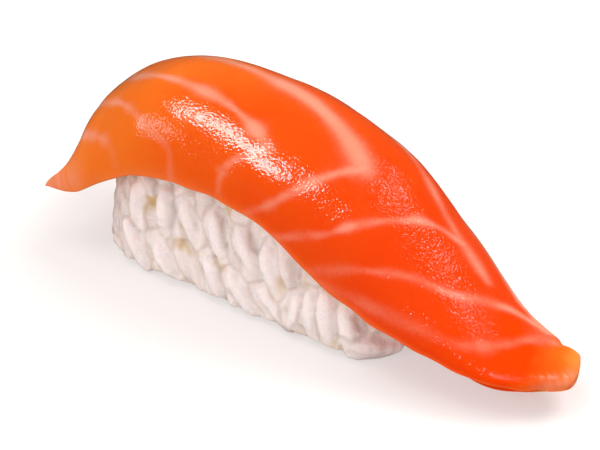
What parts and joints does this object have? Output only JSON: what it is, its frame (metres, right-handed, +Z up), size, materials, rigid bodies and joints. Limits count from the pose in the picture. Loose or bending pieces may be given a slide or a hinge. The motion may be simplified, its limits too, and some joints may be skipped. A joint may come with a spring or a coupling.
{
  "type": "salmon nigiri",
  "caption": "Salmon nigiri: a curved slice of raw salmon draped over a hand-pressed block of cooked sushi rice, thin and pointed at one end and blunt at the other.",
  "frame": {"origin": "on the surface that the rice rests on, under the middle of the whole piece's box", "axes": "+X along the piece towards the blunt end of the slice, -Y towards the side where most of the rice shows, +Z up"},
  "size_m": [0.0873, 0.0274, 0.0289],
  "materials": {
    "salmon": "moist raw salmon flesh, orange with pale fat seams, glossy",
    "rice": "cooked short-grain rice, translucent white, slightly sticky and moist"
  },
  "bodies": {
    "root": {"salmon_slice": "salmon", "rice_block": "rice"}
  },
  "joints": []
}
